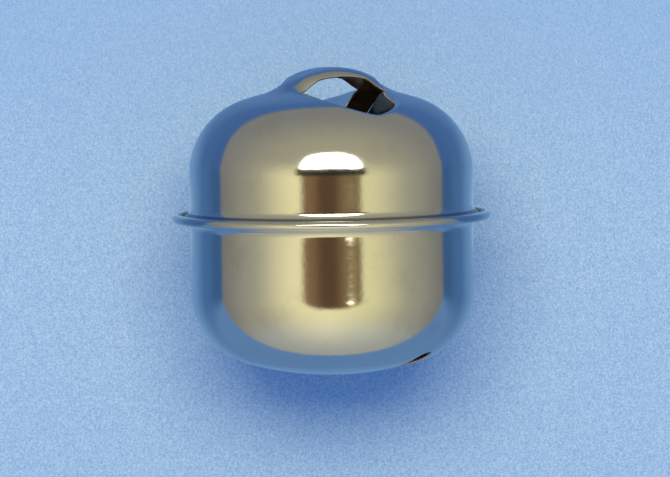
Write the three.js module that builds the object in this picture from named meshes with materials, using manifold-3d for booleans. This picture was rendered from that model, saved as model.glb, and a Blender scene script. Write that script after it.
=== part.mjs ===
// A round jingle bell pressed from thin sheet metal, in millimetres, +Z up.
// The dome carries a hanging loop lanced out of its own sheet, the cup below has one sounding slit,
// the cup's rim is folded round the dome's flange, and a loose ball inside makes the sound.
// The origin is under the top of the hanging loop, and the loop's strip runs along X.

import * as THREE from 'three';
import { mergeVertices } from 'three/addons/utils/BufferGeometryUtils.js';
import Module from 'manifold-3d';

const wasm = await Module();
wasm.setup();

// Driving dimensions. Heights are measured from the seam plane, between the two flanges.
const sheet = 0.25;
const seamGap = 0.08;
const wallRadius = 15;

// How finely the curves are cut into flat faces.
const segments = 48;
const domeSteps = { corner: 8, crown: 14 };
const cupSteps = { corner: 6, crown: 4 };
const bendSteps = 3;
const hemSteps = 4;
const slotEndSteps = 6;
const weldDistance = 1e-4;

const dome = { height: 14.06, crownRadius: 30, cornerRadius: 8.2, bendRadius: 1.15 };
const cup = { height: 16.54, crownRadius: 32.4, cornerRadius: 8, bendRadius: 0.9 };
const flange = { radius: 16.95, hemReach: 1, edgeClearance: 0.4 };

// The loop: a strip between two parallel cuts is pressed up, and the sheet beside it is pressed down.
const loopOffset = 0.1;
const strip = { halfWidth: 3.2, rise: 1.9, reach: 6.6, flatness: 2.2, softness: 0.3 };
const rolledEdge = { drop: 0.39, roundness: 5, footStart: 2.6, footEnd: 4.9 };
const hill = { start: 4, end: 5.6 };
const valley = { depth: 4.9, halfLength: 4.5, reach: 8.4, sideCurve: 1.5, endCurve: 3, softness: 0.2 };
const cut = { halfLength: 5.1, width: 0.06 };

const slit = { halfLength: 11.9, width: 2.5, direction: THREE.MathUtils.degToRad(122.5) };
const ball = { radius: 3.5, clearance: 0.3 };

// The seam's layers, from the cup's flange up to the hem folded over the dome's flange.
const cupFlangeBottom = -seamGap / 2 - sheet;
const domeFlangeBottom = seamGap / 2;
const domeFlangeTop = domeFlangeBottom + sheet;
const hemBottom = domeFlangeTop + seamGap;
const hemTop = hemBottom + sheet;
const hemMiddle = (cupFlangeBottom + hemTop) / 2;
const hemRadius = (hemTop - cupFlangeBottom) / 2;
const hemCentre = flange.radius - hemRadius;

const loopUnderside = dome.height + strip.rise - sheet;

function platedMetal(colour, roughness) {
  return new THREE.MeshStandardMaterial({ color: colour, roughness, metalness: 1 });
}

function point(radius, height) {
  return new THREE.Vector2(radius, height);
}

function arc(centreRadius, centreHeight, radius, from, to, steps) {
  const points = [];
  for (let i = 0; i <= steps; i += 1) {
    const angle = THREE.MathUtils.lerp(from, to, i / steps);
    points.push(point(centreRadius + radius * Math.cos(angle), centreHeight + radius * Math.sin(angle)));
  }
  return points;
}

// One face of a shell's closed end, from the wall to the axis: a corner arc, then a flatter crown.
// The inset moves it inward, so that the inner face stays parallel to the outer one.
function endFace(shape, inset, steps) {
  const cornerCentre = wallRadius - shape.cornerRadius;
  const crownCentre = shape.height - shape.crownRadius;
  const lean = Math.acos(cornerCentre / (shape.crownRadius - shape.cornerRadius));
  const cornerHeight = crownCentre + (shape.crownRadius - shape.cornerRadius) * Math.sin(lean);
  const corner = arc(cornerCentre, cornerHeight, shape.cornerRadius - inset, 0, lean, steps.corner);
  const crown = arc(0, crownCentre, shape.crownRadius - inset, lean, Math.PI / 2, steps.crown);
  crown[steps.crown].x = 0;
  return [...corner, ...crown.slice(1)];
}

function upsideDown(points) {
  return points.map(({ x, y }) => point(x, -y));
}

// The profile runs up the outside and down the inside, so that the faces point out.
function turned(profile) {
  const geometry = new THREE.LatheGeometry(profile, segments);
  geometry.rotateX(Math.PI / 2);
  return geometry;
}

function toSolid(geometry) {
  geometry.deleteAttribute('normal');
  geometry.deleteAttribute('uv');
  const merged = mergeVertices(geometry, weldDistance);
  const triangles = [];
  for (let i = 0; i < merged.index.count; i += 3) {
    const [a, b, c] = merged.index.array.slice(i, i + 3);
    if (a !== b && b !== c && c !== a) triangles.push(a, b, c);
  }
  return new wasm.Manifold(new wasm.Mesh({
    numProp: 3,
    vertProperties: new Float32Array(merged.attributes.position.array),
    triVerts: new Uint32Array(triangles),
  }));
}

function toGeometry(solid) {
  const mesh = solid.getMesh();
  const geometry = new THREE.BufferGeometry();
  geometry.setAttribute('position', new THREE.BufferAttribute(mesh.vertProperties, 3));
  geometry.setIndex(new THREE.BufferAttribute(mesh.triVerts, 1));
  return geometry;
}

// Zero below -softness, the value itself above softness, and a smooth bend between them.
function softStart(value, softness) {
  const bent = (THREE.MathUtils.clamp(value, -softness, softness) + softness) ** 2 / (4 * softness);
  return bent + Math.max(value - softness, 0);
}

// How far the strip is pressed up. It arches along X with its edges rolled down, as far down as the dome
// at its feet, where it runs out into a smooth hill.
function stripRise(x, y) {
  const along = Math.abs(x);
  const across = Math.abs(y) / strip.halfWidth;
  const arch = softStart(1 - (along / strip.reach) ** strip.flatness, strip.softness);
  const toFoot = THREE.MathUtils.smoothstep(along, rolledEdge.footStart, rolledEdge.footEnd);
  const drop = THREE.MathUtils.lerp(rolledEdge.drop, 1, toFoot);
  const rolled = 1 - drop * across ** rolledEdge.roundness;
  const smooth = (1 - across ** 2) ** 2;
  const toHill = THREE.MathUtils.smoothstep(along, hill.start, hill.end);
  return strip.rise * arch * THREE.MathUtils.lerp(rolled, smooth, toHill);
}

// How far the sheet beside the strip is pressed down: a rounded valley that runs out to the shoulder.
function valleyDepth(x, y) {
  const side = (Math.abs(x) / valley.halfLength) ** valley.sideCurve;
  const end = ((Math.abs(y) - strip.halfWidth) / valley.reach) ** valley.endCurve;
  return valley.depth * softStart(1 - side - end, valley.softness);
}

function pressLoop(geometry) {
  const position = geometry.attributes.position;
  for (let i = 0; i < position.count; i += 1) {
    const x = position.getX(i) - loopOffset;
    const y = position.getY(i);
    const z = position.getZ(i);
    const isEnd = z > dome.height / 2;
    if (isEnd) {
      const isStrip = Math.abs(y) < strip.halfWidth;
      position.setZ(i, z + (isStrip ? stripRise(x, y) : -valleyDepth(x, y)));
    }
  }
  return geometry;
}

// The dome, with its flat flange. The two cuts beside the strip are pierced first, then the loop is pressed.
function makeUpperShell() {
  const bendCentre = wallRadius + dome.bendRadius;
  const bendHeight = domeFlangeTop + dome.bendRadius;
  const flangeEdge = flange.radius - flange.edgeClearance;
  const profile = [
    ...endFace(dome, sheet, domeSteps).reverse(),
    ...arc(bendCentre, bendHeight, dome.bendRadius + sheet, Math.PI, 1.5 * Math.PI, bendSteps),
    point(flangeEdge, domeFlangeBottom),
    point(flangeEdge, domeFlangeTop),
    ...arc(bendCentre, bendHeight, dome.bendRadius, 1.5 * Math.PI, Math.PI, bendSteps),
    ...endFace(dome, 0, domeSteps),
  ];
  let solid = toSolid(turned(profile));
  for (const side of [-1, 1]) {
    const piercing = new THREE.BoxGeometry(2 * cut.halfLength, cut.width, dome.height);
    piercing.translate(loopOffset, side * strip.halfWidth, dome.height);
    solid = solid.subtract(toSolid(piercing));
  }
  return pressLoop(toGeometry(solid));
}

function slotOutline() {
  const endCentre = slit.halfLength - slit.width / 2;
  const outline = new THREE.Shape();
  outline.absarc(endCentre, 0, slit.width / 2, -Math.PI / 2, Math.PI / 2);
  outline.absarc(-endCentre, 0, slit.width / 2, Math.PI / 2, 1.5 * Math.PI);
  return outline;
}

// A block with round ends that reaches from below the cup to halfway up it.
function makeSlot() {
  const settings = { depth: cup.height, bevelEnabled: false, curveSegments: slotEndSteps };
  const slot = new THREE.ExtrudeGeometry(slotOutline(), settings);
  slot.rotateZ(slit.direction);
  slot.translate(0, 0, -1.5 * cup.height);
  return slot;
}

// The cup, with the sounding slit across its bottom and its rim folded round the dome's flange.
function makeLowerShell() {
  const bendCentre = wallRadius + cup.bendRadius;
  const bendHeight = cupFlangeBottom - cup.bendRadius;
  const hemEnd = flange.radius - flange.hemReach;
  const profile = [
    ...upsideDown(endFace(cup, 0, cupSteps)).reverse(),
    ...arc(bendCentre, bendHeight, cup.bendRadius, Math.PI, Math.PI / 2, bendSteps),
    ...arc(hemCentre, hemMiddle, hemRadius, -Math.PI / 2, Math.PI / 2, hemSteps),
    point(hemEnd, hemTop),
    point(hemEnd, hemBottom),
    ...arc(hemCentre, hemMiddle, hemRadius - sheet, Math.PI / 2, -Math.PI / 2, hemSteps),
    ...arc(bendCentre, bendHeight, cup.bendRadius + sheet, Math.PI / 2, Math.PI, bendSteps),
    ...upsideDown(endFace(cup, sheet, cupSteps)),
  ];
  return toGeometry(toSolid(turned(profile)).subtract(toSolid(makeSlot())));
}

function makePellet() {
  const pellet = new THREE.IcosahedronGeometry(ball.radius, 3);
  pellet.translate(0, 0, ball.radius + ball.clearance + sheet - cup.height);
  return pellet;
}

const bell = new THREE.Group();
bell.position.z = -loopUnderside;

function addPiece(name, geometry, material) {
  geometry.computeVertexNormals();
  const piece = new THREE.Mesh(geometry, material);
  piece.name = name;
  bell.add(piece);
}

addPiece('upper_shell', makeUpperShell(), platedMetal(0xd6d0bd, 0.08));
addPiece('lower_shell', makeLowerShell(), platedMetal(0xd6d0bd, 0.08));
addPiece('pellet', makePellet(), platedMetal(0x9a9a98, 0.35));

const ornament = new THREE.Group();
ornament.add(bell);

export default ornament;
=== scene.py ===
"""A polished jingle bell with a lanced hanging loop, seen square on against pale blue paper."""

import math

import bmesh
import bpy
from mathutils import Matrix, Vector, noise


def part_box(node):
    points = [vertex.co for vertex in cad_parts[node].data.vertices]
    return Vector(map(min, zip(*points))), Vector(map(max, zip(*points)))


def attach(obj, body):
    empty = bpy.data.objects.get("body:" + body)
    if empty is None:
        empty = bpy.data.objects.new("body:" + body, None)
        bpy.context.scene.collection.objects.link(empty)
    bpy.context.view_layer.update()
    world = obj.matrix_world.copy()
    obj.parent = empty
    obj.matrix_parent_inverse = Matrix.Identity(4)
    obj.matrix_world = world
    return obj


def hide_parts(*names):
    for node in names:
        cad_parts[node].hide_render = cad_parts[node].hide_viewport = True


MM = 0.001

# The frame: the origin is under the top of the hanging loop, +Z runs up along the bell's axis.
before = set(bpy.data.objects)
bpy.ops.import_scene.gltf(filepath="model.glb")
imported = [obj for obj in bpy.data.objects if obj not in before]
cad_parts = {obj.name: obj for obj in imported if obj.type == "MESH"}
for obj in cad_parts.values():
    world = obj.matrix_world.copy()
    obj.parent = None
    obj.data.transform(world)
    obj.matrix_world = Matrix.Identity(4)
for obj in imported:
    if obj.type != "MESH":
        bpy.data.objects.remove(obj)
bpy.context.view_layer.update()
dome_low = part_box("upper_shell")[0]
cup_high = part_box("lower_shell")[1]
pellet_low, pellet_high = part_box("pellet")

# Driving dimensions in metres. Heights are measured from the seam plane, between the two flanges.
SHEET = 0.25 * MM
SEAM_GAP = 0.08 * MM
WALL_RADIUS = 15 * MM
FLANGE_RADIUS = cup_high.x
HEM_REACH = 1 * MM
EDGE_CLEARANCE = 0.4 * MM
DOME = {"height": 14.06 * MM, "crown": 30 * MM, "corner": 8.2 * MM, "bend": 1.15 * MM}
CUP = {"height": 16.54 * MM, "crown": 32.4 * MM, "corner": 8 * MM, "bend": 0.9 * MM}
SEAM_HEIGHT = dome_low.z - SEAM_GAP / 2

# The seam's layers: the bottom of the cup's flange, the top of the dome's, and the hem folded over both.
CUP_FLANGE = -SEAM_GAP / 2 - SHEET
DOME_FLANGE = SEAM_GAP / 2 + SHEET
HEM_TOP = 1.5 * SEAM_GAP + 2 * SHEET

# The loop: a strip between two parallel cuts is pressed up, and the sheet beside it is pressed down.
LOOP_OFFSET = 0.1 * MM
STRIP = {"half_width": 3.2 * MM, "rise": 1.9 * MM, "reach": 6.6 * MM, "flatness": 2.2, "softness": 0.3}
ROLLED_EDGE = {"drop": 0.39, "roundness": 5, "foot_start": 2.6 * MM, "foot_end": 4.9 * MM}
HILL = {"start": 4 * MM, "end": 5.6 * MM}
VALLEY = {"depth": 4.9 * MM, "half_length": 4.5 * MM, "reach": 8.4 * MM,
          "side_curve": 1.5, "end_curve": 3, "softness": 0.2}
CUT_HALF_LENGTH = 5.1 * MM

SLIT = {"half_length": 11.9 * MM, "half_width": 1.25 * MM, "direction": math.radians(122.5)}

# How finely the surfaces are cut. The dome's crown is a square grid, with rings round it that end part of the
# way down the corner. The cup's rings fan out from the slit's edge.
CROWN_GRID = {"half": 8.6 * MM, "along": [20, 64, 20], "across": [30, 56, 30]}
CROWN_RINGS = {"steps": 24, "end": math.radians(34)}
CUP_RINGS = {"steps": 64, "side_steps": 80, "cap_steps": 20, "cap_heading": math.radians(24)}
CORNER_STEPS = 16
WALL_STEPS = 6
BEND_STEPS = 12
HEM_STEPS = 14
PELLET_SUBDIVISIONS = 5
HAIR = 1e-9

# The sheet's cut edges are broken a little wherever they turn more sharply than this.
BROKEN_EDGE = {"width": 0.035 * MM, "steps": 2, "turn": math.radians(55)}

# The pellet is worn to a share of its radius, and has coarse and fine knocks, in shares of its radius.
WORN_TO = 0.998
KNOCK_DEPTH = 0.05
COARSE_KNOCKS = {"fineness": 3.1, "start": 0.25, "share": 1}
FINE_KNOCKS = {"fineness": 9, "start": 0.2, "share": 0.3}

# The camera looks across the loop's strip, a little from above, with a long lens.
VIEW_AZIMUTH = math.radians(-24.5)
VIEW_ELEVATION = math.radians(3.5)
VIEW_ROLL = math.radians(0.85)
VIEW_DISTANCE = 0.4
VIEW_WIDTH = 71 * MM
VIEW_DROP = 2.21 * MM
VIEW_SIDE = 0.32 * MM
SENSOR = 36

# The paper's edges, from the middle of the bell's seam, and the gap between it and the flange.
PAPER = {"left": -185 * MM, "right": 155 * MM, "bottom": -140 * MM, "top": 70 * MM, "gap": 0.25 * MM}

# The softbox as a lamp, in metres and watts. Its angles run right and up from the line to the camera.
KEY_LIGHT = {"width": 0.38, "height": 0.18, "distance": 0.5, "power": 3.0, "colour": (0.98, 0.745, 0.37),
             "azimuth": math.radians(-1), "elevation": math.radians(18.5)}

to_camera = Vector((math.sin(VIEW_AZIMUTH) * math.cos(VIEW_ELEVATION),
                    -math.cos(VIEW_AZIMUTH) * math.cos(VIEW_ELEVATION),
                    math.sin(VIEW_ELEVATION)))
view_right = Vector((math.cos(VIEW_AZIMUTH), math.sin(VIEW_AZIMUTH), 0))
view_up = to_camera.cross(view_right)
seam_centre = Vector((0, 0, SEAM_HEIGHT))
paper_centre = seam_centre - to_camera * (FLANGE_RADIUS + PAPER["gap"])


# ---------------------------------------------------------------- camera

def make_camera():
    """A long lens that looks at a point a little below the middle of the bell's seam."""
    data = bpy.data.cameras.new("camera")
    data.sensor_width = SENSOR
    data.lens = SENSOR * VIEW_DISTANCE / VIEW_WIDTH
    data.clip_start = 0.01
    data.clip_end = 10
    camera = bpy.data.objects.new("camera", data)
    bpy.context.collection.objects.link(camera)
    target = seam_centre - view_up * VIEW_DROP + view_right * VIEW_SIDE
    eye = seam_centre + to_camera * VIEW_DISTANCE
    look = (eye - target).to_track_quat("Z", "Y").to_matrix().to_4x4()
    camera.matrix_world = Matrix.Translation(eye) @ look @ Matrix.Rotation(-VIEW_ROLL, 4, "Z")
    bpy.context.scene.camera = camera


# ---------------------------------------------------------------- outlines

def arc(centre_radius, centre_height, radius, start, end, steps):
    """Points of radius and height along a round stretch of a profile."""
    angles = [start + (end - start) * i / steps for i in range(steps + 1)]
    return [(centre_radius + radius * math.cos(a), centre_height + radius * math.sin(a)) for a in angles]


def end_measures(shape):
    """Where the corner arc of a closed end is centred, and how far up it hands over to the crown."""
    corner_centre = WALL_RADIUS - shape["corner"]
    crown_centre = shape["height"] - shape["crown"]
    span = shape["crown"] - shape["corner"]
    lean = math.acos(corner_centre / span)
    return corner_centre, crown_centre, crown_centre + span * math.sin(lean), lean


def end_height(shape, radius):
    """The height of a closed end's outer face above the seam, at a distance from the axis."""
    corner_centre, crown_centre, corner_height, lean = end_measures(shape)
    if radius < shape["crown"] * math.cos(lean):
        return crown_centre + math.sqrt(shape["crown"] ** 2 - radius ** 2)
    reach = min(radius - corner_centre, shape["corner"])
    return corner_height + math.sqrt(shape["corner"] ** 2 - reach ** 2)


def soft_start(value, softness):
    """Zero below -softness, the value itself above softness, and a smooth bend between."""
    held = min(max(value, -softness), softness)
    return (held + softness) ** 2 / (4 * softness) + max(value - softness, 0)


def smooth_step(value, start, end):
    share = min(max((value - start) / (end - start), 0), 1)
    return share * share * (3 - 2 * share)


def strip_rise(along, y):
    """How far the strip is pressed up: an arch whose edges are rolled down, ending in a smooth hill."""
    across = abs(y) / STRIP["half_width"]
    arch = soft_start(1 - (along / STRIP["reach"]) ** STRIP["flatness"], STRIP["softness"])
    to_foot = smooth_step(along, ROLLED_EDGE["foot_start"], ROLLED_EDGE["foot_end"])
    drop = ROLLED_EDGE["drop"] + (1 - ROLLED_EDGE["drop"]) * to_foot
    rolled = 1 - drop * across ** ROLLED_EDGE["roundness"]
    hill = (1 - across ** 2) ** 2
    to_hill = smooth_step(along, HILL["start"], HILL["end"])
    return STRIP["rise"] * arch * (rolled + (hill - rolled) * to_hill)


def valley_depth(along, y):
    """How far the sheet beside the strip is pressed down: a rounded valley that runs out to the shoulder."""
    side = (along / VALLEY["half_length"]) ** VALLEY["side_curve"]
    end = (max(abs(y) - STRIP["half_width"], 0) / VALLEY["reach"]) ** VALLEY["end_curve"]
    return VALLEY["depth"] * soft_start(1 - side - end, VALLEY["softness"])


# ---------------------------------------------------------------- mesh helpers

def spread(start, end, steps):
    """Even steps from the start up to the end, without the end itself."""
    return [start + (end - start) * i / steps for i in range(steps)]


def ring_faces(bm, inner, outer):
    """A closed band of faces between two rings that have equally many points."""
    count = len(inner)
    for i in range(count):
        j = (i + 1) % count
        bm.faces.new((inner[i], outer[i], outer[j], inner[j]))


def finish_mesh(name, bm, material_slots):
    """Makes a smooth piece whose faces look away from the middle of the bell."""
    bmesh.ops.recalc_face_normals(bm, faces=bm.faces)
    outward = 0
    for face in bm.faces:
        outward += face.normal.dot(face.calc_center_median() - seam_centre) * face.calc_area()
    if outward < 0:
        bmesh.ops.reverse_faces(bm, faces=bm.faces)
    mesh = bpy.data.meshes.new(name)
    bm.to_mesh(mesh)
    bm.free()
    piece = bpy.data.objects.new(name, mesh)
    bpy.context.collection.objects.link(piece)
    for polygon in mesh.polygons:
        polygon.use_smooth = True
    for material in material_slots:
        mesh.materials.append(material)
    return piece


def thicken(piece):
    """Gives an outer skin the sheet's thickness, inward, and breaks the cut edges a little. The piece's
    materials are those of its outside, its inside and its cut edges, in that order."""
    sheet = piece.modifiers.new("sheet", "SOLIDIFY")
    sheet.thickness = SHEET
    sheet.offset = -1
    sheet.use_even_offset = True
    sheet.use_quality_normals = True
    sheet.material_offset = 1
    sheet.material_offset_rim = 2
    edge = piece.modifiers.new("cut_edge", "BEVEL")
    edge.width = BROKEN_EDGE["width"]
    edge.segments = BROKEN_EDGE["steps"]
    edge.limit_method = "ANGLE"
    edge.angle_limit = BROKEN_EDGE["turn"]


# ---------------------------------------------------------------- the dome, with its loop

def grid_lines(marks, steps):
    """Even steps from mark to mark, with a line on every mark."""
    lines = []
    for (start, end), count in zip(zip(marks, marks[1:]), steps):
        lines += spread(start, end, count)
    return lines + [marks[-1]]


def pressed_height(x, y, on_strip):
    """The height of the dome's outer face once the loop is pressed."""
    along = abs(x - LOOP_OFFSET)
    shift = strip_rise(along, y) if on_strip else -valley_depth(along, y)
    return SEAM_HEIGHT + end_height(DOME, math.hypot(x, y)) + shift


def make_crown_grid(bm):
    """The middle of the dome, a grid whose lines follow the two cuts. Returns the grid's border, in order."""
    half = CROWN_GRID["half"]
    cut_start = LOOP_OFFSET - CUT_HALF_LENGTH
    cut_end = LOOP_OFFSET + CUT_HALF_LENGTH
    width = STRIP["half_width"]
    xs = grid_lines([-half, cut_start, cut_end, half], CROWN_GRID["along"])
    ys = grid_lines([-half, -width, width, half], CROWN_GRID["across"])
    verts = {}

    def vertex(i, j, on_strip):
        x, y = xs[i], ys[j]
        is_cut = abs(abs(y) - width) < HAIR and cut_start + HAIR < x < cut_end - HAIR
        inside = on_strip if is_cut else abs(y) < width
        key = (i, j, inside)
        if key not in verts:
            verts[key] = bm.verts.new((x, y, pressed_height(x, y, inside)))
        return verts[key]

    for i in range(len(xs) - 1):
        for j in range(len(ys) - 1):
            on_strip = abs((ys[j] + ys[j + 1]) / 2) < width
            corners = ((i, j), (i + 1, j), (i + 1, j + 1), (i, j + 1))
            bm.faces.new([vertex(a, b, on_strip) for a, b in corners])

    last_i = len(xs) - 1
    last_j = len(ys) - 1
    border = [(i, 0) for i in range(last_i)]
    border += [(last_i, j) for j in range(last_j)]
    border += [(i, last_j) for i in range(last_i, 0, -1)]
    border += [(0, j) for j in range(last_j, 0, -1)]
    return [vertex(i, j, False) for i, j in border]


def make_dome_rings(bm, border):
    """From the grid's square border out onto the corner, through rings that turn from square to round.
    Returns the last ring and the direction of each of its points."""
    starts = [Vector((v.co.x, v.co.y)) for v in border]
    corner_centre = end_measures(DOME)[0]
    round_radius = corner_centre + DOME["corner"] * math.cos(CROWN_RINGS["end"])
    previous = border
    for step in range(1, CROWN_RINGS["steps"] + 1):
        share = step / CROWN_RINGS["steps"]
        ring = []
        for start in starts:
            spot = start.lerp(start.normalized() * round_radius, share)
            ring.append(bm.verts.new((*spot, pressed_height(*spot, abs(spot.y) < STRIP["half_width"]))))
        ring_faces(bm, previous, ring)
        previous = ring
    directions = [start.normalized() for start in starts]
    return previous, directions


def sweep(bm, previous, directions, profile):
    """Rings along a profile of radius and height, each joined to the one before."""
    for radius, height in profile:
        ring = [bm.verts.new((d.x * radius, d.y * radius, SEAM_HEIGHT + height)) for d in directions]
        ring_faces(bm, previous, ring)
        previous = ring


def make_upper_shell(materials):
    """The dome, with its hanging loop and its flat flange."""
    bm = bmesh.new()
    ring, directions = make_dome_rings(bm, make_crown_grid(bm))
    corner_centre, _, corner_height, _ = end_measures(DOME)
    bend_centre = WALL_RADIUS + DOME["bend"]
    bend_height = DOME_FLANGE + DOME["bend"]
    corner = arc(corner_centre, corner_height, DOME["corner"], CROWN_RINGS["end"], 0, CORNER_STEPS)[1:]
    wall = [(WALL_RADIUS, h) for h in spread(corner_height, bend_height, WALL_STEPS)][1:]
    bend = arc(bend_centre, bend_height, DOME["bend"], math.pi, 1.5 * math.pi, BEND_STEPS)
    edge = [(FLANGE_RADIUS - EDGE_CLEARANCE, DOME_FLANGE)]
    sweep(bm, ring, directions, corner + wall + bend + edge)
    shell = finish_mesh("dome_with_loop", bm, materials)
    thicken(shell)
    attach(shell, "bell")
    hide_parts("upper_shell")
    return shell


# ---------------------------------------------------------------- the cup, with its slit and hem

def cup_point(u, v):
    """A point of the cup's outer face, from its place on a flat map where lengths from the pole are true."""
    corner_centre, crown_centre, corner_height, lean = end_measures(CUP)
    length = math.hypot(u, v)
    crown_length = CUP["crown"] * (math.pi / 2 - lean)
    if length < crown_length:
        turn = math.pi / 2 - length / CUP["crown"]
        radius = CUP["crown"] * math.cos(turn)
        height = crown_centre + CUP["crown"] * math.sin(turn)
    else:
        turn = lean - (length - crown_length) / CUP["corner"]
        radius = corner_centre + CUP["corner"] * math.cos(turn)
        height = corner_height + CUP["corner"] * math.sin(turn)
    heading = math.atan2(v, u) + SLIT["direction"]
    return Vector((radius * math.cos(heading), radius * math.sin(heading), SEAM_HEIGHT - height))


def map_length(radius):
    """The length from the pole along the cup's outer face, out to a radius that lies on its corner."""
    corner_centre, _, _, lean = end_measures(CUP)
    crown_length = CUP["crown"] * (math.pi / 2 - lean)
    return crown_length + CUP["corner"] * (lean - math.acos((radius - corner_centre) / CUP["corner"]))


def slit_outline():
    """Pairs of a point of the slit's edge on the flat map and the heading that it fans out to."""
    width = SLIT["half_width"]
    end = map_length(SLIT["half_length"]) - width
    cap_heading = CUP_RINGS["cap_heading"]
    pairs = []
    for side, half_turn in ((1, 0), (-1, math.pi)):
        for turn in spread(-math.pi / 2, math.pi / 2, CUP_RINGS["cap_steps"]):
            spot = Vector((side * (end + width * math.cos(turn)), side * width * math.sin(turn)))
            pairs.append((spot, turn * cap_heading / (math.pi / 2) + half_turn))
        for along in spread(end, -end, CUP_RINGS["side_steps"]):
            heading = math.acos(along / end * math.cos(cap_heading))
            pairs.append((Vector((side * along, side * width)), heading + half_turn))
    return pairs


def make_cup_rings(bm):
    """From the slit's edge out to the wall. Returns the last ring and the direction of each of its points."""
    pairs = slit_outline()
    rim_length = map_length(WALL_RADIUS)
    rim = [Vector((math.cos(heading), math.sin(heading))) * rim_length for _, heading in pairs]
    ring = [bm.verts.new(cup_point(*spot)) for spot, _ in pairs]
    for step in range(1, CUP_RINGS["steps"] + 1):
        share = step / CUP_RINGS["steps"]
        outer = [bm.verts.new(cup_point(*spot.lerp(end, share))) for (spot, _), end in zip(pairs, rim)]
        ring_faces(bm, ring, outer)
        ring = outer
    directions = [Vector((v.co.x, v.co.y)).normalized() for v in ring]
    return ring, directions


def make_lower_shell(materials):
    """The cup, with the slit across its bottom and its rim folded into a hem."""
    bm = bmesh.new()
    ring, directions = make_cup_rings(bm)
    corner_height = end_measures(CUP)[2]
    hem_radius = (HEM_TOP - CUP_FLANGE) / 2
    bend_centre = WALL_RADIUS + CUP["bend"]
    bend_height = CUP_FLANGE - CUP["bend"]
    wall = [(WALL_RADIUS, h) for h in spread(-corner_height, bend_height, WALL_STEPS)][1:]
    bend = arc(bend_centre, bend_height, CUP["bend"], math.pi, math.pi / 2, BEND_STEPS)
    hem_centre = FLANGE_RADIUS - hem_radius
    hem = arc(hem_centre, CUP_FLANGE + hem_radius, hem_radius, -math.pi / 2, math.pi / 2, HEM_STEPS)
    hem_end = [(FLANGE_RADIUS - HEM_REACH, HEM_TOP)]
    sweep(bm, ring, directions, wall + bend + hem + hem_end)
    shell = finish_mesh("cup_with_slit", bm, materials)
    thicken(shell)
    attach(shell, "bell")
    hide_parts("lower_shell")
    return shell


# ---------------------------------------------------------------- the loose pellet

def knocked(direction, knocks):
    """How deep the knocks of one kind are in a direction, as a share of the knock depth."""
    return knocks["share"] * max(0, noise.noise(direction * knocks["fineness"]) - knocks["start"])


def make_pellet(material):
    """A tumbled steel ball with small knocks all over it."""
    centre = (pellet_low + pellet_high) / 2
    radius = (pellet_high.z - pellet_low.z) / 2
    bm = bmesh.new()
    bmesh.ops.create_icosphere(bm, subdivisions=PELLET_SUBDIVISIONS, radius=1)
    for vert in bm.verts:
        direction = vert.co.normalized()
        knocks = knocked(direction, COARSE_KNOCKS) + knocked(direction, FINE_KNOCKS)
        vert.co = direction * radius * (WORN_TO - KNOCK_DEPTH * knocks)
    bmesh.ops.translate(bm, verts=bm.verts, vec=centre)
    pellet = finish_mesh("loose_pellet", bm, [material])
    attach(pellet, "pellet")
    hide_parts("pellet")
    return pellet


# ---------------------------------------------------------------- node helpers

class Nodes:
    """A node tree, with short calls for adding and joining nodes."""

    def __init__(self, tree):
        self.tree = tree

    def add(self, kind, inputs=None, **settings):
        node = self.tree.nodes.new(kind)
        for key, value in settings.items():
            setattr(node, key, value)
        for key, value in (inputs or {}).items():
            self.feed(node, key, value)
        return node

    def feed(self, node, key, value):
        """Joins a socket to a node's input, or sets the input to a plain value."""
        if isinstance(value, bpy.types.NodeSocket):
            self.tree.links.new(value, node.inputs[key])
        else:
            node.inputs[key].default_value = value

    def maths(self, operation, first, second=0.0):
        return self.add("ShaderNodeMath", {0: first, 1: second}, operation=operation).outputs[0]

    def vector_maths(self, operation, first, second=(0, 0, 0)):
        """The vector that two vectors give, or the number that a dot product or a length gives."""
        node = self.add("ShaderNodeVectorMath", {0: first, 1: second}, operation=operation)
        is_number = operation in ("DOT_PRODUCT", "LENGTH")
        return node.outputs["Value" if is_number else "Vector"]

    def step(self, value, start, end, low=0, high=1):
        """Runs smoothly from low to high while the value runs from start to end."""
        inputs = {"Value": value, 1: start, 2: end, 3: low, 4: high}
        return self.add("ShaderNodeMapRange", inputs, interpolation_type="SMOOTHSTEP").outputs[0]

    def band(self, value, start, end, soft):
        """One from start to end and zero outside, with soft edges."""
        rising = self.step(value, start - soft, start + soft)
        falling = self.step(value, end + soft, end - soft)
        return self.maths("MULTIPLY", rising, falling)

    def outwards(self, value, centre, half, power):
        """How far the value is from a centre, as a share of a half width, to a power. Two of these add up to
        one on an oval, which gets squarer as the power grows."""
        share = self.maths("DIVIDE", self.maths("SUBTRACT", value, centre), half)
        return self.maths("POWER", self.maths("ABSOLUTE", share), power)

    def blend(self, share, first, second, how="MIX"):
        mix = self.add("ShaderNodeMix", data_type="RGBA", blend_type=how)
        self.feed(mix, 0, share)
        self.feed(mix, 6, first)
        self.feed(mix, 7, second)
        return mix.outputs[2]


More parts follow.
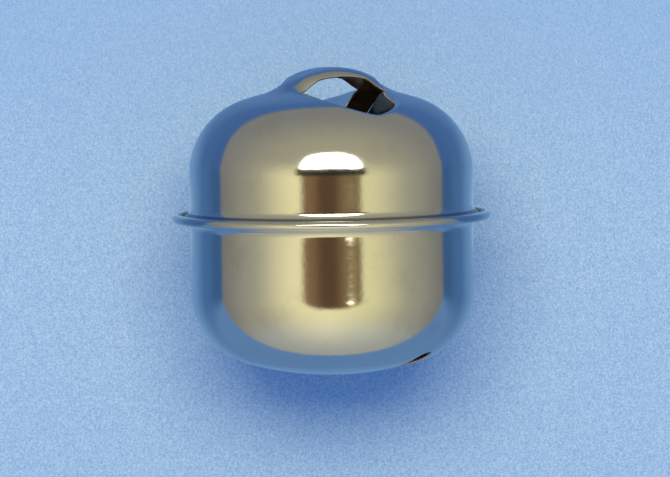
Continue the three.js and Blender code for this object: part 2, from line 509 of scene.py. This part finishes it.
class Material(Nodes):
    """A material's nodes, round one Principled shader."""

    def __init__(self, name):
        self.material = bpy.data.materials.new(name)
        self.material.use_nodes = True
        super().__init__(self.material.node_tree)
        self.shader = self.tree.nodes["Principled BSDF"]
        self.output = self.tree.nodes["Material Output"]

    def place(self, stretch=(1, 1, 1)):
        """A place on the object, in metres, with its axes stretched."""
        where = self.add("ShaderNodeTexCoord")
        return self.add("ShaderNodeMapping", {"Vector": where.outputs["Object"], "Scale": stretch}).outputs[0]

    def noise(self, per_metre, detail=3, roughness=0.5, stretch=(1, 1, 1)):
        inputs = {"Vector": self.place(stretch), "Scale": per_metre, "Detail": detail, "Roughness": roughness}
        return self.add("ShaderNodeTexNoise", inputs).outputs["Fac"]

    def bump(self, height, distance):
        return self.add("ShaderNodeBump", {"Height": height, "Distance": distance, "Strength": 1}).outputs[0]

    def mix_shader(self, share, first, second):
        return self.add("ShaderNodeMixShader", {0: share, 1: first, 2: second}).outputs[0]

    def as_metal(self, colour, roughness, relief, depth):
        """Bare metal with a fine relief of some depth. Returns the finished material."""
        self.feed(self.shader, "Base Color", colour)
        self.feed(self.shader, "Metallic", 1.0)
        self.feed(self.shader, "Roughness", roughness)
        self.feed(self.shader, "Normal", self.bump(relief, depth))
        return self.material


# ---------------------------------------------------------------- the bell's materials

# The last colour is painted shade for the seam's crease, not a colour of the metal.
NICKEL = {"clean": (0.90, 0.885, 0.83, 1), "hazy": (0.87, 0.85, 0.785, 1),
          "stained": (0.62, 0.59, 0.52, 1), "crease_shade": (0.30, 0.31, 0.33, 1)}
INSIDE = {"bare": (0.34, 0.26, 0.18, 1), "bloomed": (0.26, 0.19, 0.12, 1)}
CUT_EDGE = {"bright": (0.68, 0.64, 0.54, 1), "torn": (0.47, 0.42, 0.34, 1)}
STEEL = {"plain": (0.50, 0.49, 0.47, 1), "scuffed": (0.33, 0.31, 0.29, 1)}


def make_polish():
    """Bright nickel plate with faint orange peel, buffing marks and stains, and painted shade along the
    seam's crease.
    """
    n = Material("polished_nickel")
    stains = n.step(n.noise(260, 4, 0.6), 0.52, 0.75)
    haze = n.step(n.noise(90), 0.35, 0.7)
    buffing = n.noise(1500, 2, 0.6, (1, 1, 9))
    peel = n.noise(1900, 2)
    # Painted shade: the crease at the hem's edge is darkened and roughened to stand in for the shade in its
    # gap.
    painted_crease_shade = crease_mask(n)
    colour = n.blend(haze, NICKEL["clean"], NICKEL["hazy"])
    colour = n.blend(n.maths("MULTIPLY", stains, 0.25), colour, NICKEL["stained"])
    colour = n.blend(painted_crease_shade, colour, NICKEL["crease_shade"])
    rough = n.maths("ADD", n.step(haze, 0, 1, 0.07, 0.11), n.maths("MULTIPLY", stains, 0.05))
    rough = n.maths("ADD", rough, n.step(buffing, 0.3, 0.7, 0, 0.02))
    rough = n.maths("ADD", rough, n.maths("MULTIPLY", painted_crease_shade, 0.2))
    relief = n.maths("ADD", peel, n.maths("MULTIPLY", buffing, 0.12))
    return n.as_metal(colour, rough, relief, 0.005 * MM)


def crease_mask(n):
    """One along the crease where the hem's edge meets the dome's flange, and zero elsewhere: where the shade
    in the crease is painted.
    """
    here = n.place()
    radius = n.vector_maths("LENGTH", n.vector_maths("MULTIPLY", here, (1, 1, 0)))
    height = n.add("ShaderNodeSeparateXYZ", {0: here}).outputs["Z"]
    level = n.maths("ABSOLUTE", n.maths("SUBTRACT", height, SEAM_HEIGHT + HEM_TOP))
    inside_hem = n.step(radius, FLANGE_RADIUS - 0.5 * MM, FLANGE_RADIUS - 0.8 * MM)
    return n.maths("MULTIPLY", inside_hem, n.step(level, 0.28 * MM, 0.10 * MM))


def make_inside():
    """The unpolished inside of the sheet: duller, darker, with drawing marks and a few blooms."""
    n = Material("drawn_inside")
    blooms = n.step(n.noise(300, 4, 0.65), 0.45, 0.7)
    drawing_marks = n.noise(2200, 3, 0.6, (1, 1, 0.12))
    colour = n.blend(blooms, INSIDE["bare"], INSIDE["bloomed"])
    return n.as_metal(colour, n.step(blooms, 0, 1, 0.34, 0.52), drawing_marks, 0.004 * MM)


def make_cut_edge():
    """The sheared edge of the sheet: bright metal with rougher, darker tears."""
    n = Material("sheared_edge")
    tearing = n.noise(3200, 4, 0.7)
    colour = n.blend(tearing, CUT_EDGE["bright"], CUT_EDGE["torn"])
    return n.as_metal(colour, n.step(tearing, 0.3, 0.7, 0.3, 0.5), tearing, 0.01 * MM)


def make_steel():
    """Tumbled steel: dull grey with small scuffs."""
    n = Material("tumbled_steel")
    scuffs = n.noise(700, 5, 0.65)
    colour = n.blend(scuffs, STEEL["plain"], STEEL["scuffed"])
    return n.as_metal(colour, n.step(scuffs, 0.35, 0.7, 0.26, 0.5), scuffs, 0.006 * MM)


# ---------------------------------------------------------------- the paper

# The paper's own colours, and the colours of the painted glow that the bell mirrors in place of the lit
# paper.
FACE = {"plain": (0.275, 0.472, 0.825, 1), "clouded": (0.303, 0.50, 0.845, 1),
        "fibre": (0.38, 0.575, 0.90, 1), "mottle": (0.18, 0.36, 0.68, 1),
        "speck": (0.56, 0.74, 1.0, 1), "pit": (0.15, 0.30, 0.64, 1), "top": (0.20, 0.37, 0.74, 1)}
PAINTED_GLOW = {"middle": (0.155, 0.31, 0.56, 1), "edge": (0.062, 0.155, 0.36, 1), "far": (0.042, 0.11, 0.26, 1),
        "low": (0.112, 0.228, 0.45, 1), "high": (0.055, 0.13, 0.35, 1), "seam": (0.34, 0.52, 0.77, 1)}
SEAM_OVAL = {"half_width": 19 * MM, "up": 6 * MM, "down": 6 * MM, "power": 2}
FADE_OVAL = {"half_width": 145 * MM, "up": 60 * MM, "down": 120 * MM, "power": 4}


def paper_tint(n, height, fibres):
    """Pale blue, mottled and grainy, and a little darker towards the top."""
    mottle = n.noise(2300, 2, 0.6)
    grain = n.noise(5200, 2, 0.6)
    clouds = n.noise(45, 3, 0.55)
    tint = n.blend(clouds, FACE["plain"], FACE["clouded"])
    tint = n.blend(n.maths("MULTIPLY", fibres, 0.16), tint, FACE["fibre"])
    tint = n.blend(n.step(mottle, 0.3, 0.7, 0, 0.36), tint, FACE["mottle"])
    tint = n.blend(n.step(grain, 0.42, 0.78, 0, 0.45), tint, FACE["speck"])
    tint = n.blend(n.step(grain, 0.55, 0.25, 0, 0.62), tint, FACE["pit"])
    return n.blend(n.step(height, -5 * MM, 30 * MM, 0, 0.5), tint, FACE["top"])


def paper_oval(n, right, height, oval):
    """Below one inside an oval round the paper's centre, which may reach further down than up."""
    across = n.outwards(right, 0, oval["half_width"], oval["power"])
    upper = n.maths("DIVIDE", height, oval["up"])
    lower = n.maths("DIVIDE", height, -oval["down"])
    return n.maths("ADD", across, n.maths("POWER", n.maths("MAXIMUM", upper, lower), oval["power"]))


def painted_paper_glow(n, reach, right, height):
    """A painted glow that the bell mirrors in place of the lit paper: painted light at the seam and low down,
    painted shade high up and far away.
    """
    glow = n.blend(n.step(reach, 20 * MM, 46 * MM), PAINTED_GLOW["middle"], PAINTED_GLOW["edge"])
    glow = n.blend(n.step(reach, 40 * MM, 90 * MM), glow, PAINTED_GLOW["far"])
    glow = n.blend(n.step(height, -12 * MM, -36 * MM), glow, PAINTED_GLOW["low"])
    glow = n.blend(n.step(height, 8 * MM, 20 * MM, 0, 0.6), glow, PAINTED_GLOW["high"])
    return n.blend(n.step(paper_oval(n, right, height, SEAM_OVAL), 2.2, 0.1), glow, PAINTED_GLOW["seam"])


def make_paper_material():
    """Paper in front and clear behind, so that views from behind still show the bell. Glossy rays see a
    painted glow in place of the lit paper, an emission with painted light and shade in it, which fades out
    far away."""
    n = Material("blue_paper")
    here = n.add("ShaderNodeNewGeometry")
    spot = n.vector_maths("SUBTRACT", here.outputs["Position"], paper_centre)
    right = n.vector_maths("DOT_PRODUCT", spot, view_right)
    height = n.vector_maths("DOT_PRODUCT", spot, view_up)
    fibres = n.noise(900, 4, 0.6)
    n.feed(n.shader, "Base Color", paper_tint(n, height, fibres))
    n.feed(n.shader, "Roughness", 0.9)
    n.feed(n.shader, "Specular IOR Level", 0.0)
    n.feed(n.shader, "Normal", n.bump(fibres, 0.04 * MM))

    glow = painted_paper_glow(n, n.vector_maths("LENGTH", spot), right, height)
    # Painted reflection: the paper glows for glossy rays, though it is no lamp.
    painted_reflection = n.add("ShaderNodeEmission", {"Color": glow, "Strength": 1.0}).outputs[0]
    clear = n.add("ShaderNodeBsdfTransparent").outputs[0]
    far = n.step(paper_oval(n, right, height, FADE_OVAL), 0.45, 1.8)
    painted_reflection = n.mix_shader(far, painted_reflection, clear)
    path = n.add("ShaderNodeLightPath").outputs["Is Glossy Ray"]
    front = n.mix_shader(path, n.shader.outputs[0], painted_reflection)
    n.feed(n.output, "Surface", n.mix_shader(here.outputs["Backfacing"], front, clear))
    return n.material


def make_paper():
    """The paper that the bell lies on: it touches the flange behind, square to the view."""
    bm = bmesh.new()
    corners = [(PAPER["left"], PAPER["bottom"]), (PAPER["right"], PAPER["bottom"]),
               (PAPER["right"], PAPER["top"]), (PAPER["left"], PAPER["top"])]
    bm.faces.new([bm.verts.new(paper_centre + view_right * x + view_up * y) for x, y in corners])
    mesh = bpy.data.meshes.new("paper")
    bm.to_mesh(mesh)
    bm.free()
    paper = bpy.data.objects.new("paper", mesh)
    bpy.context.collection.objects.link(paper)
    mesh.materials.append(make_paper_material())


# ---------------------------------------------------------------- the studio

# What the bell mirrors. Its angles are in degrees from the line to the camera, to the right and up.
ROOM = {"front_left": (0.86, 0.79, 0.46, 1), "front_right": (0.73, 0.69, 0.39, 1),
        "side": (0.345, 0.335, 0.258, 1), "far_side": (0.18, 0.185, 0.18, 1),
        "above": (0.37, 0.35, 0.25, 1), "far_above": (0.21, 0.215, 0.21, 1),
        "tint_below": (0.048, 0.072, 0.112, 1)}
LOW_STRETCH = 0.26
CARD = {"half_width": 24, "top": 7, "softness": 2, "straight_to": -6, "drop": 16}
CARD_FACE = {"left": (0.21, 0.125, 0.06, 1), "right": (0.205, 0.14, 0.068, 1),
             "middle": (0.10, 0.056, 0.030, 1), "low_right": (0.45, 0.36, 0.18, 1),
             "spot": (1.6, 1.5, 1.1, 1)}
SPOT = {"azimuth": 14.5, "elevation": -12.5, "half_width": 3.0, "half_height": 2.8}
SOFTBOX = {"half_width": 24, "bottom": 10, "height": 22, "softness": 1.5, "squareness": 2.5}
SOFTBOX_LIGHT = (5.0, 4.9, 4.3, 1)
FRINGE = {"half_width": 28, "bottom": 0, "top": 10, "side_softness": 3, "softness": 2}
FRINGE_SHADE = (0.022, 0.025, 0.013, 1)
FILL_LIGHT = (0.265, 0.396, 0.624, 1)
PLAIN_GROUND = (0.42, 0.60, 0.80, 1)


class Studio(Nodes):
    """The world's nodes, and the direction that a ray leaves in, as numbers."""

    def __init__(self):
        world = bpy.data.worlds.new("studio")
        bpy.context.scene.world = world
        world.use_nodes = True
        world.node_tree.nodes.clear()
        super().__init__(world.node_tree)
        direction = self.add("ShaderNodeTexCoord").outputs["Generated"]
        forward = self.vector_maths("DOT_PRODUCT", direction, to_camera)
        right = self.vector_maths("DOT_PRODUCT", direction, view_right)
        self.up = self.vector_maths("DOT_PRODUCT", direction, view_up)
        self.azimuth = self.degrees("ARCTAN2", right, forward)
        self.elevation = self.degrees("ARCSINE", self.up)
        self.away = self.degrees("ARCCOSINE", forward)

    def degrees(self, operation, first, second=0.0):
        return self.maths("MULTIPLY", self.maths(operation, first, second), math.degrees(1))


def room_light(n):
    """A warm room, bright in front and dimmer to the sides and above, with a blue tint added below. Its
    bright front stretches further down than to the sides."""
    downward = n.maths("POWER", n.maths("MINIMUM", n.up, 0.0), 2.0)
    nearer = n.maths("SUBTRACT", 1.0, n.maths("MULTIPLY", downward, LOW_STRETCH))
    reach = n.maths("MULTIPLY", n.away, nearer)
    front = n.blend(n.step(n.azimuth, -10, 25), ROOM["front_left"], ROOM["front_right"])
    sides = n.blend(n.step(reach, 26, 70), front, ROOM["side"])
    sides = n.blend(n.step(reach, 60, 105), sides, ROOM["far_side"])
    above = n.blend(n.step(n.away, 35, 105), ROOM["above"], ROOM["far_above"])
    room = n.blend(n.step(n.elevation, -5, 25), sides, above)
    return n.blend(n.step(n.elevation, -25, -60), room, ROOM["tint_below"], "ADD")


def card_face(n):
    """Dark, darkest in the middle, with a small bright spot low on the right."""
    face = n.blend(n.step(n.azimuth, -3, 15), CARD_FACE["left"], CARD_FACE["right"])
    face = n.blend(n.band(n.azimuth, -12, 6, 6), face, CARD_FACE["middle"])
    low_right = n.maths("MULTIPLY", n.band(n.azimuth, 13, 19, 2), n.step(n.elevation, -6, -11))
    face = n.blend(low_right, face, CARD_FACE["low_right"])
    spot_across = n.outwards(n.azimuth, SPOT["azimuth"], SPOT["half_width"], 2.0)
    spot_up = n.outwards(n.elevation, SPOT["elevation"], SPOT["half_height"], 2.0)
    return n.blend(n.step(n.maths("ADD", spot_across, spot_up), 1.8, 0.4), face, CARD_FACE["spot"])


def add_card(n, room):
    """A plain card in front, with a straight top, upright sides and a round bottom."""
    across = n.outwards(n.azimuth, 0, CARD["half_width"], 3.0)
    low_part = n.maths("MINIMUM", n.elevation, CARD["straight_to"])
    down = n.outwards(low_part, CARD["straight_to"], CARD["drop"], 2.0)
    outline = n.step(n.maths("ADD", across, down), 1.4, 0.6)
    below_top = n.step(n.elevation, CARD["top"] + CARD["softness"], CARD["top"] - CARD["softness"])
    return n.blend(n.maths("MULTIPLY", outline, below_top), room, card_face(n))


def add_softbox(n, room):
    """A softbox with a straight lower edge and a round top, and its dark fringe below."""
    fringe_across = n.band(n.azimuth, -FRINGE["half_width"], FRINGE["half_width"], FRINGE["side_softness"])
    fringe_up = n.band(n.elevation, FRINGE["bottom"], FRINGE["top"], FRINGE["softness"])
    fringed = n.blend(n.maths("MULTIPLY", fringe_across, fringe_up), room, FRINGE_SHADE)
    across = n.outwards(n.azimuth, 0, SOFTBOX["half_width"], SOFTBOX["squareness"])
    up = n.outwards(n.elevation, SOFTBOX["bottom"], SOFTBOX["height"], SOFTBOX["squareness"])
    outline = n.step(n.maths("ADD", across, up), 1.35, 0.7)
    bottom = SOFTBOX["bottom"]
    above_bottom = n.step(n.elevation, bottom - SOFTBOX["softness"], bottom + SOFTBOX["softness"])
    return n.blend(n.maths("MULTIPLY", outline, above_bottom), fringed, SOFTBOX_LIGHT)


def make_studio():
    """The bell mirrors the room, an even fill lights the paper, and other views have a plain pale ground."""
    n = Studio()
    lit = add_softbox(n, add_card(n, room_light(n)))
    path = n.add("ShaderNodeLightPath")
    seen = n.blend(path.outputs["Is Camera Ray"], FILL_LIGHT, PLAIN_GROUND)
    seen = n.blend(path.outputs["Is Glossy Ray"], seen, lit)
    background = n.add("ShaderNodeBackground", {"Color": seen, "Strength": 1.0})
    n.add("ShaderNodeOutputWorld", {"Surface": background.outputs[0]})


def make_key_light():
    """The softbox as a lamp: it lights the paper and throws the bell's soft shadow down it."""
    azimuth = KEY_LIGHT["azimuth"]
    elevation = KEY_LIGHT["elevation"]
    level = to_camera * math.cos(azimuth) + view_right * math.sin(azimuth)
    direction = level * math.cos(elevation) + view_up * math.sin(elevation)
    data = bpy.data.lights.new("softbox", "AREA")
    data.shape = "RECTANGLE"
    data.size = KEY_LIGHT["width"]
    data.size_y = KEY_LIGHT["height"]
    data.energy = KEY_LIGHT["power"]
    data.color = KEY_LIGHT["colour"]
    light = bpy.data.objects.new("softbox", data)
    bpy.context.collection.objects.link(light)
    light.location = seam_centre + direction * KEY_LIGHT["distance"]
    light.rotation_mode = "QUATERNION"
    light.rotation_quaternion = direction.to_track_quat("Z", "Y")
    light.visible_glossy = False
    light.visible_camera = False


# ---------------------------------------------------------------- the scene

make_camera()
make_studio()
make_paper()
make_key_light()

shell_materials = [make_polish(), make_inside(), make_cut_edge()]
make_upper_shell(shell_materials)
make_lower_shell(shell_materials)
make_pellet(make_steel())

bpy.context.scene.view_settings.view_transform = "Standard"
